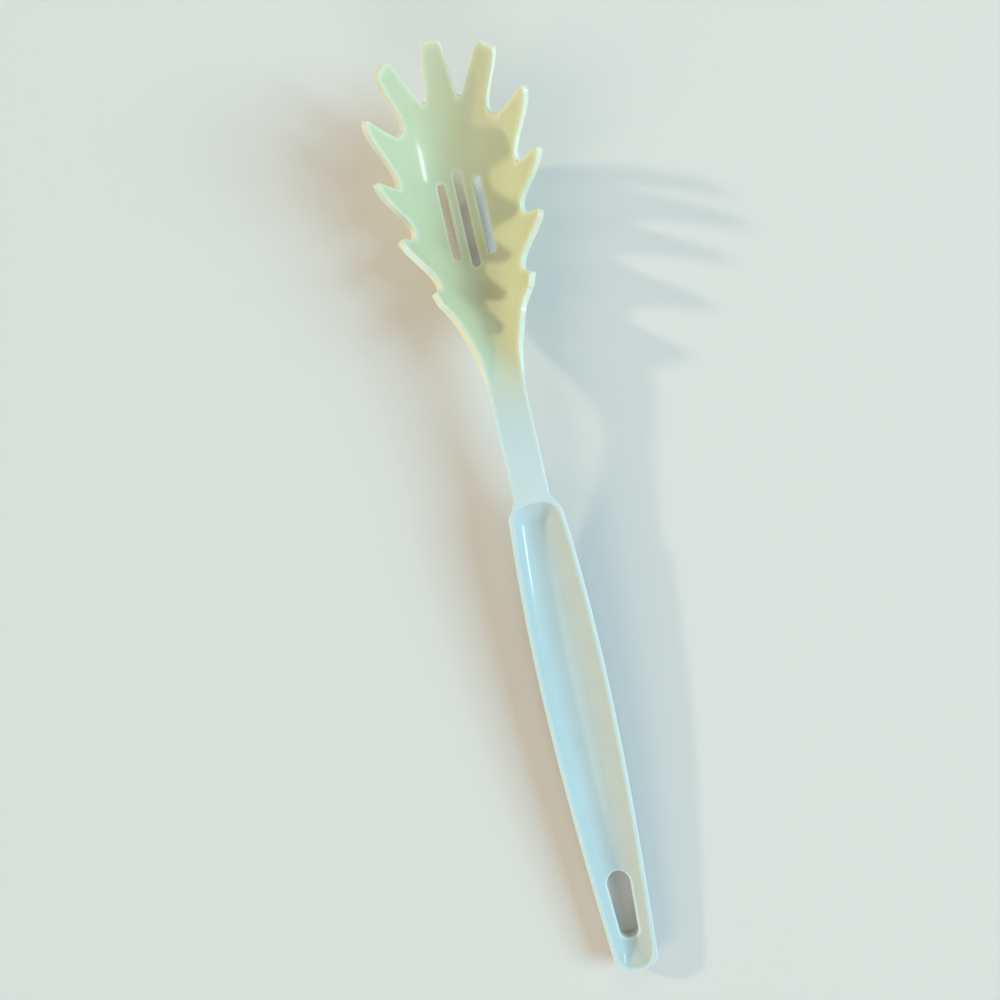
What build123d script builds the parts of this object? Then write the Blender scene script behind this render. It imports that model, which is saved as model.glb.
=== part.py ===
from build123d import *
import os
from math import cos, radians, sin, sqrt

# Pasta server: one glossy moulding, lying on its back with the bowl open upwards.
# X runs across it, Y along it towards the tines, and Z up. The origin is under its middle.
# Lengths are in millimetres and angles in degrees.

# Handle
handle_length = 162.5
handle_pitch = 3.0
handle_depth = 7.0
handle_back_radius = 3.6
handle_end_width = 14.6
handle_lower_pull_width = 21.4
handle_upper_pull_width = 26.8
handle_shoulder_width = 17.9
handle_end_bow = 2.4
handle_end_corner_radius = 4.0
shoulder_run = 5.0
shoulder_radius = 1.6
rim_land = 1.7
trough_depth = 3.8
trough_floor_radius = 3.5
arch_land = 2.1
trough_corner_radius = 3.8

# Hanging hole
hole_start = 9.5
hole_wide_radius = 3.9
hole_narrow_radius = 3.05
hole_spacing = 16.6

# Neck
neck_width = 11.8
neck_length = 32.8
neck_end_corner_radius = 1.0

# Bowl and tines
wall = 2.2
head_length = 109.6
bowl_width = 39.7
bowl_depth = 12.8
tine_rise = 27.1
tine_slope = 52.0
sheet_margin = 8.0
gap_radius = 0.9
front_gap_radius = 1.2
small_gap_radius = 0.5
tooth_tip_radius = 0.7
small_tip_radius = 0.35
blunt_tip_radius = 1.3
root_clearance = 1.2

# Drain slots
slot_width = 2.7
slot_spacing = 6.0
middle_slot_length = 32.4
side_slot_length = 26.0

# Overrun of every cutting body past the wall that it cuts
overrun = 5.0

# The bowl's deepest point and the middle of its slots, along head_length, and how far out on
# a section's half ellipse its rim lies
floor_share = 0.565
slot_middle_share = 0.581
rim_reach_share = 0.66

# Pulls of the centre line's curves at their two ends, as shares of head_length
funnel_pull_share = (0.219, 0.237)
scoop_pull_share = (0.201, 0.146)

# Stations of the bowl: place on the centre line, rim width and rim height,
# as shares of that line, of bowl_width and of bowl_depth
funnel_shares = [
    (0.000, 0.297, 0.006),
    (0.125, 0.300, 0.110),
    (0.250, 0.368, 0.313),
    (0.375, 0.506, 0.500),
    (0.500, 0.615, 0.656),
    (0.625, 0.698, 0.780),
    (0.750, 0.804, 0.883),
    (0.875, 0.894, 0.953),
]
scoop_shares = [
    (0.000, 0.960, 1.000),
    (0.167, 0.990, 1.000),
    (0.333, 1.000, 0.965),
    (0.500, 0.992, 0.875),
    (0.667, 0.979, 0.778),
    (0.833, 0.955, 0.698),
    (1.000, 0.915, 0.640),
]

# Plan outline of the right half: across as a share of half bowl_width, and along as a
# share of head_length from the neck's end
funnel_edge_shares = [(0.300, 0.073), (0.332, 0.141), (0.433, 0.208), (0.559, 0.269)]
step_inner_share = (0.650, 0.295)
step_outer_share = (0.680, 0.299)
small_tip_share = (0.756, 0.339)
small_gap_share = (0.668, 0.3625)
# Each sawtooth: the pull of the curve out of the gap behind it and into its tip,
# its tip, and the gap ahead of it
sawtooth_shares = [
    ((-0.027, 0.075), (0.027, -0.050), (1.083, 0.508), (0.917, 0.525)),
    ((-0.173, 0.070), (0.053, -0.055), (1.250, 0.666), (0.972, 0.6715)),
    ((-0.110, 0.064), (0.140, -0.055), (1.188, 0.821), (0.816, 0.810)),
]
side_tine_pull_shares = ((-0.302, 0.034), (-0.053, -0.041))
side_tine_outer_share = (0.902, 0.927)
side_tine_inner_share = (0.680, 0.967)
front_gap_share = (0.2695, 0.8763)
centre_tip_share = (0.151, 0.993)
tip_share = (0.0, 1.0)
# The line that the tines stand on passes the funnel well outside its edge
root_corner_share = (1.01, 0.18)


# Handle, a bar with a dished face, a rounded back and a tapering hanging hole
pitch = radians(handle_pitch)
up = Vector(0, -sin(pitch), cos(pitch))
handle_rise = handle_depth * cos(pitch) - handle_back_radius * (1 - cos(pitch) + sin(pitch))
handle_plane = Plane(origin=(0, 0, handle_rise), x_dir=(1, 0, 0), z_dir=up)
shoulder_start = handle_length - shoulder_run


def outline_lines(inset):
    """Draw the handle's outline moved in by an inset, with a bowed end, swelling sides and shoulders."""
    corner = (handle_end_width / 2 - inset, handle_end_bow + inset)
    shoulder = (handle_shoulder_width / 2 - inset, shoulder_start)
    neck_corner = (neck_width / 2 - inset, handle_length)
    third = (shoulder[1] - corner[1]) / 3
    ThreePointArc((-corner[0], corner[1]), (0, inset), corner)
    right_side = Bezier(
        corner,
        (handle_lower_pull_width / 2 - inset, corner[1] + third),
        (handle_upper_pull_width / 2 - inset, shoulder[1] - third),
        shoulder,
    )
    right_shoulder = Line(shoulder, neck_corner)
    Line(neck_corner, (-neck_corner[0], neck_corner[1]))
    mirror([right_side, right_shoulder], about=Plane.YZ)


with BuildPart() as handle:
    with BuildSketch(handle_plane) as handle_outline:
        with BuildLine():
            outline_lines(0)
        make_face()
        fillet(handle_outline.vertices().group_by(Axis.Y)[0], handle_end_corner_radius)
        fillet(handle_outline.vertices().group_by(Axis.Y)[-2], shoulder_radius)
    extrude(amount=-handle_depth)
    back = handle.faces().filter_by(GeomType.PLANE).sort_by(Axis.Z)[0]
    fillet(back.edges().sort_by(Axis.Y)[:-1], handle_back_radius)
    with BuildSketch(handle_plane) as trough_outline:
        with BuildLine():
            outline_lines(rim_land)
        make_face()
        with Locations((0, handle_length - arch_land)):
            Rectangle(handle_length, handle_length, align=(Align.CENTER, Align.MIN), mode=Mode.SUBTRACT)
        fillet(trough_outline.vertices(), trough_corner_radius)
    extrude(amount=-trough_depth, mode=Mode.SUBTRACT)
    facing_up = handle.faces().filter_by(GeomType.PLANE).group_by(lambda f: round(f.normal_at().Z, 3))[-1]
    trough_floor = facing_up.sort_by(SortBy.AREA)[-1]
    fillet(trough_floor.edges(), trough_floor_radius)
    with BuildSketch(handle_plane.offset(overrun)) as hole_outline:
        with Locations((0, hole_start + hole_narrow_radius)):
            Circle(hole_narrow_radius)
        with Locations((0, hole_start + hole_narrow_radius + hole_spacing)):
            Circle(hole_wide_radius)
        make_hull()
    extrude(amount=-handle_depth - 2 * overrun, mode=Mode.SUBTRACT)

neck_end = handle_plane.from_local_coords(Vector(0, handle_length + neck_length, 0))
neck_line = Vector(0, cos(pitch), sin(pitch))

# Centre line of the bowl's inner wall, falling from the neck and rising into the tines
floor_point = Vector(0, neck_end.Y + floor_share * head_length, wall)
tip_point = Vector(0, neck_end.Y + head_length, wall + tine_rise)
tine_line = Vector(0, cos(radians(tine_slope)), sin(radians(tine_slope)))
level_line = Vector(0, 1, 0)
lead_in = Line(neck_end - neck_line * sheet_margin, neck_end)
funnel = Bezier(
    neck_end,
    neck_end + neck_line * head_length * funnel_pull_share[0],
    floor_point - level_line * head_length * funnel_pull_share[1],
    floor_point,
)
scoop = Bezier(
    floor_point,
    floor_point + level_line * head_length * scoop_pull_share[0],
    tip_point - tine_line * head_length * scoop_pull_share[1],
    tip_point,
)
run_out = Line(tip_point, tip_point + tine_line * sheet_margin)

# The bowl's room, of half ellipses square to the centre line. Its lower face is the inner wall
stations = [(lead_in, 0.0) + funnel_shares[0][1:]]
stations += [(funnel,) + share for share in funnel_shares]
stations += [(scoop,) + share for share in scoop_shares]
stations += [(run_out, 1.0) + scoop_shares[-1][1:]]
with BuildPart() as bowl_room:
    for line, at, width_share, depth_share in stations:
        half_across = width_share * bowl_width / 2 / rim_reach_share
        half_high = depth_share * bowl_depth / (1 - sqrt(1 - rim_reach_share**2))
        with BuildSketch(Plane(origin=line @ at, x_dir=(1, 0, 0), z_dir=-(line % at))):
            with BuildLine():
                section = EllipticalCenterArc((0, half_high), half_across, half_high, start_angle=180, arc_size=180)
                Line(section @ 0, section @ 1)
            make_face()
    loft()
inner_wall = bowl_room.faces().sort_by(SortBy.AREA)[-1]


def plan_point(share):
    """Place a share of the bowl's half width and the head's length on the plan."""
    return Vector(share[0] * bowl_width / 2, neck_end.Y + share[1] * head_length)


def pull(point, share):
    """Move a point of the plan by a share of the bowl's half width and the head's length."""
    return point + Vector(share[0] * bowl_width / 2, share[1] * head_length)


def mirrored(point):
    """Mirror a point of the plan to the other side."""
    return Vector(-point.X, point.Y)


# Plan outline of the head, with its eleven tines and three drain slots
neck_side = Vector(neck_width / 2, neck_end.Y)
small_gap = plan_point(small_gap_share)
small_tip = plan_point(small_tip_share)
tips = [plan_point(share[2]) for share in sawtooth_shares]
gaps = [small_gap] + [plan_point(share[3]) for share in sawtooth_shares]
side_outer = plan_point(side_tine_outer_share)
side_inner = plan_point(side_tine_inner_share)
front_gap = plan_point(front_gap_share)
centre_corner = plan_point(centre_tip_share)
slot_middle = neck_end.Y + slot_middle_share * head_length


def corners_at(sketch, point):
    """The two mirrored corners of a sketch that stand at a point."""
    return [v for v in sketch.vertices() if abs(abs(v.X) - point.X) + abs(v.Y - point.Y) < wall / 100]


with BuildSketch() as head_outline:
    with BuildLine():
        half = [
            Spline(
                [neck_side, *[plan_point(share) for share in funnel_edge_shares], plan_point(step_inner_share)],
                tangents=[(0, 1), (1, 2)],
            ),
            Line(plan_point(step_inner_share), plan_point(step_outer_share)),
            Line(plan_point(step_outer_share), small_tip),
            Line(small_tip, small_gap),
        ]
        for number, (gap_pull, tip_pull, tip, gap) in enumerate(sawtooth_shares):
            behind = gaps[number]
            half += [
                Bezier(behind, pull(behind, gap_pull), pull(tips[number], tip_pull), tips[number]),
                Line(tips[number], gaps[number + 1]),
            ]
        half += [
            Bezier(
                gaps[-1],
                pull(gaps[-1], side_tine_pull_shares[0]),
                pull(side_outer, side_tine_pull_shares[1]),
                side_outer,
            ),
            Line(side_outer, side_inner),
            Line(side_inner, front_gap),
            Line(front_gap, centre_corner),
        ]
        ThreePointArc(centre_corner, plan_point(tip_share), mirrored(centre_corner))
        mirror(half, about=Plane.YZ)
        Line(neck_side, mirrored(neck_side))
    make_face()
    for point, radius in (
        [(small_gap, small_gap_radius), (small_tip, small_tip_radius)]
        + [(gap, gap_radius) for gap in gaps[1:]]
        + [(tip, tooth_tip_radius) for tip in tips]
        + [(front_gap, front_gap_radius), (side_outer, blunt_tip_radius), (side_inner, blunt_tip_radius)]
        + [(centre_corner, blunt_tip_radius)]
    ):
        fillet(corners_at(head_outline, point), radius)
    with Locations((0, slot_middle)):
        SlotOverall(middle_slot_length, slot_width, rotation=90, mode=Mode.SUBTRACT)
    with Locations((slot_spacing, slot_middle), (-slot_spacing, slot_middle)):
        SlotOverall(side_slot_length, slot_width, rotation=90, mode=Mode.SUBTRACT)

# The bowl ends on the line that the tines stand on, which crosses the gaps between them
with BuildSketch() as bowl_region:
    with BuildLine():
        roots = [neck_side + Vector(root_clearance, -overrun), plan_point(root_corner_share)]
        roots += [plan_point(step_inner_share) - Vector(0, root_clearance)]
        roots += [gap + Vector(root_clearance, root_clearance) for gap in gaps]
        roots += [front_gap + Vector(root_clearance / 2, 2 * root_clearance)]
        Polyline(*roots, *[mirrored(point) for point in reversed(roots)], close=True)
    make_face()


def moulded(region):
    """Thicken the part of the inner wall that stands over a region of the plan."""
    with BuildPart() as column:
        add(region)
        extrude(amount=wall + tine_rise + bowl_width)
    with BuildPart() as piece:
        for patch in inner_wall.intersect(column.part.solid()):
            thicken(patch, amount=wall, normal_override=(0, 0, -1))
    return piece


bowl = moulded(head_outline.sketch & bowl_region.sketch)
tine_regions = (head_outline.sketch - bowl_region.sketch).faces()
centre_region = tine_regions.sort_by(lambda f: abs(f.center().X))[0]
right_regions = tine_regions.filter_by(lambda f: f.center().X > wall).sort_by(Axis.Y, reverse=True)
left_regions = tine_regions.filter_by(lambda f: f.center().X < -wall).sort_by(Axis.Y, reverse=True)

# Neck, a bar that thins from the handle's front face to the bowl's wall and ends on the bowl
handle_front = handle.faces().sort_by(Axis.Y)[-1]
with BuildPart() as neck:
    with BuildSketch(Plane(origin=neck_end, x_dir=(1, 0, 0), z_dir=-neck_line)) as thin_end:
        Rectangle(neck_width, wall, align=(Align.CENTER, Align.MAX))
        fillet(thin_end.vertices().group_by(Axis.Y)[0], neck_end_corner_radius)
    loft(sections=[handle_front, thin_end.sketch.face()])
    add(bowl.part, mode=Mode.SUBTRACT)

pieces = {"handle": handle, "neck": neck, "bowl": bowl, "centre_tine": moulded(centre_region)}
for number, region in enumerate(right_regions, start=1):
    pieces[f"right_tine_{number}"] = moulded(region)
for number, region in enumerate(left_regions, start=1):
    pieces[f"left_tine_{number}"] = moulded(region)

# The origin moves under the middle of the whole server, and each piece is saved by its name
box = Compound([piece.part for piece in pieces.values()]).bounding_box()
to_origin = Location((0, -(box.min.Y + box.max.Y) / 2, -box.min.Z))
os.makedirs("parts", exist_ok=True)
for name, piece in pieces.items():
    piece.part.move(to_origin)
    piece.part.label = name
    export_step(piece.part, f"parts/{name}.step")
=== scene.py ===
"""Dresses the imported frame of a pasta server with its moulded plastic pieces, floor, lamps and camera."""

from math import acos, asin, cos, pi, radians, sin, sqrt, tan
from types import SimpleNamespace

import bpy
import numpy as np
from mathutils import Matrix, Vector
from mathutils.geometry import delaunay_2d_cdt


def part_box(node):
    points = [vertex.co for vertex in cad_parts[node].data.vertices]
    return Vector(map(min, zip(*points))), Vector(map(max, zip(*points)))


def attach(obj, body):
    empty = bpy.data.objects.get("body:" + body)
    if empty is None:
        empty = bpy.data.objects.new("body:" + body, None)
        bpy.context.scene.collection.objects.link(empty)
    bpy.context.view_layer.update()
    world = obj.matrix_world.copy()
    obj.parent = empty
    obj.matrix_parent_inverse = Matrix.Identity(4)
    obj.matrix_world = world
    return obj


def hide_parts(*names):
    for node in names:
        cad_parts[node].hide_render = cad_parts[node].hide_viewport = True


bl_info = {
    "name": "Pasta server",
    "version": (1, 0, 0),
    "blender": (4, 5, 0),
    "location": "3D View > Sidebar > Pasta server",
    "description": "Builds a moulded pasta server around its packed frame",
    "category": "Add Mesh",
}

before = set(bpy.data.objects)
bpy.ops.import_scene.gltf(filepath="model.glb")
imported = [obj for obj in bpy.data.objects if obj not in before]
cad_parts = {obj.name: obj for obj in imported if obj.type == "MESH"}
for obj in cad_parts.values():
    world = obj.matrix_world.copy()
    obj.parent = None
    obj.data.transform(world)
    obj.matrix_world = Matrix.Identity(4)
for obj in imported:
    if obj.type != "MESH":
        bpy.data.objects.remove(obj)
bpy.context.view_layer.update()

MM = 0.001
FAR_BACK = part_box("handle")[0].y / MM  # where the handle's end lies along the frame
TINES = 5  # tines on each side of the middle one

# How finely the surfaces are drawn, in vertices
UPPER_ROWS = 5  # over an edge's upper rounding
BACK_ROWS = 7  # down an edge's side and round its back
FRONT_POINTS = 13  # across the neck's ends
CURVE_STEPS = 240  # along a curve of the outline
LINE_POINTS = 41  # along a straight run of the outline
CORNER_POINTS = 9  # round a corner of the outline
LEAST_POINTS = 3  # on the shortest stretch or cut
HANDLE_COUNTS = ([16, 130, 8], [14, 10])  # on the curves of the handle's side and round their corners
CAP_POINTS = 26  # round a quarter of the trough's plan
TROUGH_POINTS = 108  # along a straight side of the trough's plan
LIP_RINGS = 6  # over the trough's lip
TROUGH_RINGS = 8  # down the trough's wall
HOLE_POINTS = 120  # round the hanging hole
MIDDLE_POINTS = 1600  # along the bowl's middle line
FUNNEL_POINTS = 161  # along the funnel's side
TIP_POINTS = 61  # along the middle tine's end
SLOT_TURN_POINTS = 25  # round half a slot's end
NECK_STATIONS = 40

# Distances between the inner vertices of filled areas, in millimetres
RIM_SPACING = 1.2
TROUGH_SPACING = 1.1
BACK_SPACING = 1.6
SHELL_SPACING = 0.85
CUT_SPACING = 0.6
SLOT_SPACING = 0.4
EDGE_SPACING = 0.35

FLOOR_RINGS = (0.4, 1.0, 2.2, 4.0)  # radii, in metres
FLOOR_TURNS = 96  # vertices round a ring

# Distant lamps: name, direction that the light comes from, spread in degrees, and tint
FAR_LAMPS = [
    ("cool", (0.62, -0.13, 0.38), 37, (0.42, 0.79, 1.0)),
    ("warm", (-0.62, 0.42, 0.27), 3.5, (1.0, 0.90, 0.60)),
    ("soft", (-0.50, -0.15, 0.40), 40, (1.0, 0.92, 0.76)),
    ("front", (-0.04, -1.0, 0.36), 22, (0.93, 1.0, 0.92)),
    ("fill", (0.05, 1.0, 0.62), 40, (1.0, 0.97, 0.62)),
]
# The strip lamp's size and place, in metres, and its tint
STRIP_SIZE, STRIP_PLACE, STRIP_TINT = (0.34, 0.09), (1.24, -0.16, 0.62), (0.75, 0.93, 1.0)

CAP_POWER = 3.0  # of the superellipse in which the trough's plan closes at both ends
DISH_POWER = 2.4  # of the share from the spine out, in the trough's depth
WALL_SHARE = 0.72  # where the rings down the trough's wall end, as a share from the spine out
LEAST_RADIUS = 0.4  # of the handle's corners, however far they are moved in
CUT_BOW = 0.05  # of a straight cut, where triangles would otherwise have no area
LEAST_AREA = 1e-6  # twice the area under which a triangle is left out
LEAST_GAP = 1e-9  # distance under which two points of a filled area are taken as one
INSIDE_LOOPS = 1  # the kind of triangulation that keeps only what its loops enclose
CORRECTIONS = 30  # rounds in which a place on the bowl's middle line is found
RIM_HIGHLIGHT = 0.55  # how strong the painted highlight of an edge is where the face beside it starts

# Bowl sections: place on the middle line's curve, rim width and rim height as shares of the sizes
FUNNEL_SHARES = [
    (0.000, 0.297, 0.006),
    (0.125, 0.300, 0.110),
    (0.250, 0.368, 0.313),
    (0.375, 0.506, 0.500),
    (0.500, 0.615, 0.656),
    (0.625, 0.698, 0.780),
    (0.750, 0.804, 0.883),
    (0.875, 0.894, 0.953),
]
SCOOP_SHARES = [
    (0.000, 0.960, 1.000),
    (1 / 6, 0.990, 1.000),
    (2 / 6, 1.000, 0.965),
    (3 / 6, 0.992, 0.875),
    (4 / 6, 0.979, 0.778),
    (5 / 6, 0.955, 0.698),
    (1.000, 0.915, 0.640),
]
FLOOR_SHARE = 0.565  # where the bowl is deepest along the head
RIM_REACH_SHARE = 0.66  # how far out on a section's half ellipse its rim lies
FUNNEL_PULL_SHARE = (0.219, 0.237)
SCOOP_PULL_SHARE = (0.201, 0.146)

# Plan outline of the right half: across as a share of the half width, along as a share of the length
FUNNEL_EDGE = [(0.300, 0.073), (0.332, 0.141), (0.433, 0.208), (0.559, 0.269)]
STEP_INNER, STEP_OUTER = (0.650, 0.295), (0.680, 0.299)
SMALL_TIP, SMALL_GAP = (0.756, 0.339), (0.668, 0.3625)
SAWTEETH = [
    ((-0.027, 0.075), (0.027, -0.050), (1.083, 0.508), (0.917, 0.525)),
    ((-0.173, 0.070), (0.053, -0.055), (1.250, 0.666), (0.972, 0.6715)),
    ((-0.110, 0.064), (0.140, -0.055), (1.188, 0.821), (0.816, 0.810)),
]
SIDE_TINE_PULLS = ((-0.302, 0.034), (-0.053, -0.041))
SIDE_TINE_OUTER, SIDE_TINE_INNER = (0.902, 0.927), (0.680, 0.967)
FRONT_GAP, CENTRE_TIP, TIP = (0.2695, 0.8763), (0.151, 0.993), (0.0, 1.0)
FUNNEL_SLOPES = ((0, 1), (1 / sqrt(5), 2 / sqrt(5)))  # in which the funnel's edge starts and ends
ROOT_CORNER = (1.01, 0.18)
ROOT_START = 5  # how far behind the neck's end the root line starts


# Settings


def length(name, millimetres, text):
    """A length setting, given in millimetres."""
    return bpy.props.FloatProperty(
        name=name, description=text, default=millimetres * MM, precision=5, unit="LENGTH", subtype="DISTANCE"
    )


def angle(name, degrees, text):
    """An angle setting, given in degrees."""
    return bpy.props.FloatProperty(
        name=name, description=text, default=radians(degrees), unit="ROTATION", subtype="ANGLE"
    )


def share(name, value, text):
    """A setting from 0 to 1."""
    return bpy.props.FloatProperty(name=name, description=text, default=value, min=0, max=1, subtype="FACTOR")


def power(name, watts, text):
    """A lamp's power."""
    return bpy.props.FloatProperty(name=name, description=text, default=watts, min=0, unit="POWER")


def light(name, strength, text):
    """A distant lamp's strength, in watts on a square metre."""
    return bpy.props.FloatProperty(name=name, description=text, default=strength, min=0)


def colour(name, value, text):
    """A colour setting, as the linear red, green and blue that a shader uses."""
    return bpy.props.FloatVectorProperty(
        name=name, description=text, default=value, size=3, min=0, max=1, subtype="COLOR"
    )


class HandleSizes(bpy.types.PropertyGroup):
    """Sizes of the handle, its trough and its hanging hole."""

    length: length("Length", 162.5, "From the hanging end to the neck")
    pitch: angle("Pitch", 3.0, "How steeply the handle rises towards the bowl")
    depth: length("Depth", 7.0, "From the rim to the flat back")
    back_radius: length("Back radius", 3.6, "Rounding of the back's edges")
    end_width: length("End width", 14.6, "Across the hanging end")
    lower_pull: length("Lower swell", 21.4, "Width that pulls the sides out near the end")
    upper_pull: length("Upper swell", 26.8, "Width that pulls the sides out near the neck")
    shoulder_width: length("Shoulder width", 17.9, "Across the shoulders")
    end_bow: length("End bow", 2.4, "How far the hanging end bows out")
    end_corner: length("End corner radius", 4.0, "Rounding of the hanging end's corners")
    shoulder_run: length("Shoulder run", 5.0, "Length of the slanting shoulders")
    shoulder_radius: length("Shoulder radius", 1.6, "Rounding of the shoulders")
    edge_radius: length("Edge radius", 0.55, "Rounding of the rim's outer edge")
    rim_land: length("Rim", 1.7, "Width of the rim round the trough")
    arch_land: length("Arch rim", 2.1, "Width of the rim at the trough's arched end")
    lip_drop: length("Lip drop", 0.25, "How far the rim's rounding leads down into the trough")
    trough_depth: length("Trough depth", 3.8, "Depth of the dished face")
    end_cap: length("End cap", 10.5, "Length over which the trough closes at the hanging end")
    arch_cap: length("Arch", 7.5, "Length over which the trough closes at the neck")
    hole_start: length("Hole start", 9.5, "From the end to the hanging hole")
    hole_wide: length("Hole's wide radius", 3.9, "Radius of the hole's end near the neck")
    hole_narrow: length("Hole's narrow radius", 3.05, "Radius of the hole's outer end")
    hole_spacing: length("Hole spacing", 16.6, "Between the centres of the hole's ends")
    hole_lip: length("Hole lip", 0.9, "Rounding of the hole's edge")
    # Strength of the painted highlight that lightens the handle's rim and its edges
    rim_highlight: share("Rim wear", 0.5, "How worn the rim is")


class NeckSizes(bpy.types.PropertyGroup):
    """Sizes of the neck."""

    width: length("Width", 11.8, "Across the neck")
    length: length("Length", 32.8, "From the handle to the bowl")


class HeadSizes(bpy.types.PropertyGroup):
    """Sizes of the bowl, its tines and its drain slots."""

    wall: length("Wall", 2.2, "Thickness of the moulding")
    length: length("Length", 109.6, "From the neck to the middle tine's tip")
    width: length("Width", 39.7, "Across the bowl's rim")
    depth: length("Depth", 12.8, "From the rim to the bowl's floor")
    tine_rise: length("Tine rise", 27.1, "How far the middle tine's tip stands over the floor")
    tine_slope: angle("Tine slope", 52.0, "How steeply the front tines rise")
    margin: length("Margin", 8.0, "How far the form runs past both ends of the bowl")
    edge_radius: length("Edge radius", 0.32, "Rounding of every moulded edge")
    # How far the painted highlight along the outline and along the slots reaches into the face
    wear_width: length("Wear width", 1.2, "How far the edges' wear reaches into the face")
    slot_wear_width: length("Slot wear width", 0.5, "How far the slots' wear reaches into the face")
    gap_radius: length("Gap radius", 0.9, "Rounding of the gaps between side tines")
    front_gap_radius: length("Front gap radius", 1.2, "Rounding of the gaps beside the middle tine")
    tip_radius: length("Tip radius", 0.95, "Rounding of the side tines' tips")
    small_radius: length("Small radius", 0.85, "Rounding of the steps and gaps by the smallest tines")
    small_tip_radius: length("Small tip radius", 1.2, "Rounding of the smallest tines")
    blunt_radius: length("Blunt tip radius", 1.8, "Rounding of the front tines' corners")
    root_clearance: length("Root clearance", 1.2, "How far the tines' root lines pass outside the gaps")
    slot_width: length("Slot width", 2.7, "Across a drain slot")
    slot_spacing: length("Slot spacing", 6.0, "Between neighbouring drain slots")
    middle_slot: length("Middle slot", 32.4, "Length of the middle drain slot")
    side_slot: length("Side slots", 26.0, "Length of the two outer drain slots")
    slot_middle: share("Slot place", 0.581, "Where the slots' middles lie along the head")


class Finish(bpy.types.PropertyGroup):
    """Colours and gloss of the moulded plastic."""

    head_colour: colour("Bowl colour", (0.63, 0.62, 0.40), "The bowl's cream plastic")
    handle_colour: colour("Handle colour", (0.56, 0.62, 0.61), "The handle's cooler off-white plastic")
    change_start: length("Change start", 28.0, "Where along the frame the colour starts to change")
    change_end: length("Change end", 64.0, "Where along the frame the bowl's colour is full")
    roughness: share("Roughness", 0.14, "Roughness of the glossy plastic")
    # Lighter colours of the painted highlight along the edges, and how far it lightens them
    head_highlight_colour: colour("Bowl edges", (0.88, 0.84, 0.68), "Lighter cream along the bowl's edges")
    handle_highlight_colour: colour("Handle edges", (0.78, 0.86, 0.85), "Lighter white along the handle's edges")
    highlight_share: share("Edge wear", 0.75, "How much lighter the edges are")


class Stage(bpy.types.PropertyGroup):
    """Floor, lamps and camera."""

    floor_colour: colour("Floor colour", (0.76, 0.70, 0.67), "The plain pale floor")
    sky_colour: colour("Room colour", (0.88, 0.95, 0.95), "Soft light from all round")
    sky_strength: share("Room light", 0.23, "Strength of the soft light from all round")
    backdrop: share("Backdrop", 0.55, "How pale the room looks behind the server and in its gloss")
    cool_light: light("Cool lamp", 2.8, "Large soft lamp on the right")
    warm_light: light("Warm lamp", 1.3, "Small low lamp on the left, which shines between the tines")
    soft_light: light("Soft lamp", 1.0, "Soft warm lamp on the left")
    front_light: light("Front lamp", 0.72, "Soft lamp beyond the handle, which lights the tines")
    fill_light: light("Fill lamp", 0.45, "Soft lamp beyond the tines, which lights the bowl's floor")
    strip_power: power("Strip lamp", 2.2, "Narrow lamp that the gloss reflects")
    camera_x: length("Camera across", -10.2, "The camera's place across the server")
    camera_y: length("Camera along", 10.87, "The camera's place along the server")
    camera_height: length("Camera height", 259.0, "The camera's height over the floor")
    camera_turn: angle("Camera turn", -12.9, "Turn of the camera, which looks straight down")
    lens: length("Lens", 27.18, "Focal length on a 36 mm wide sensor")


class ServerSettings(bpy.types.PropertyGroup):
    """All settings of the pasta server."""

    handle: bpy.props.PointerProperty(type=HandleSizes, name="Handle", description="Handle sizes")
    neck: bpy.props.PointerProperty(type=NeckSizes, name="Neck", description="Neck sizes")
    head: bpy.props.PointerProperty(type=HeadSizes, name="Head", description="Bowl and tine sizes")
    finish: bpy.props.PointerProperty(type=Finish, name="Finish", description="Plastic")
    stage: bpy.props.PointerProperty(type=Stage, name="Stage", description="Floor, lamps and camera")


def measured(group):
    """A settings group as plain numbers, with its lengths in millimetres."""
    found = {}
    for name in type(group).__annotations__:
        value = getattr(group, name)
        found[name] = value / MM if group.bl_rna.properties[name].unit == "LENGTH" else value
    return SimpleNamespace(**found)


# Curves


def bezier(a, b, c, d, count=CURVE_STEPS + 1):
    """A cubic Bezier curve from a to d with the pulls b and c.

    With t the share gone and u the share left, a counts with the cube of u, b with three times
    t and the square of u, c with three times u and the square of t, and d with the cube of t.
    """
    a, b, c, d = (np.asarray(point, float) for point in (a, b, c, d))
    t = np.linspace(0, 1, count)[:, None]
    return (1 - t) ** 3 * a + 3 * (1 - t) ** 2 * t * b + 3 * (1 - t) * t**2 * c + t**3 * d


def line(a, b, count=LINE_POINTS):
    """A straight run from a to b."""
    return np.linspace(a, b, count)


def between(a, b, count):
    """A straight run from a to b without its two ends."""
    return line(a, b, count)[1:-1]


def circle(turn):
    """Points of a circle of radius 1: each turn's cosine across and its sine along."""
    return np.stack([np.cos(turn), np.sin(turn)], axis=-1)


def left_of(directions):
    """Plan directions turned left by a right angle."""
    return np.stack([-directions[..., 1], directions[..., 0]], axis=-1)


def run_of(points):
    """The length run along a polyline at each of its points."""
    return np.concatenate([[0], np.cumsum(np.linalg.norm(np.diff(points, axis=0), axis=1))])


def along(points, at):
    """Points of a polyline at given lengths along it, each interpolated between its neighbours."""
    run = run_of(points)
    return np.stack([np.interp(at, run, points[:, k]) for k in range(points.shape[1])], axis=-1)


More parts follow.
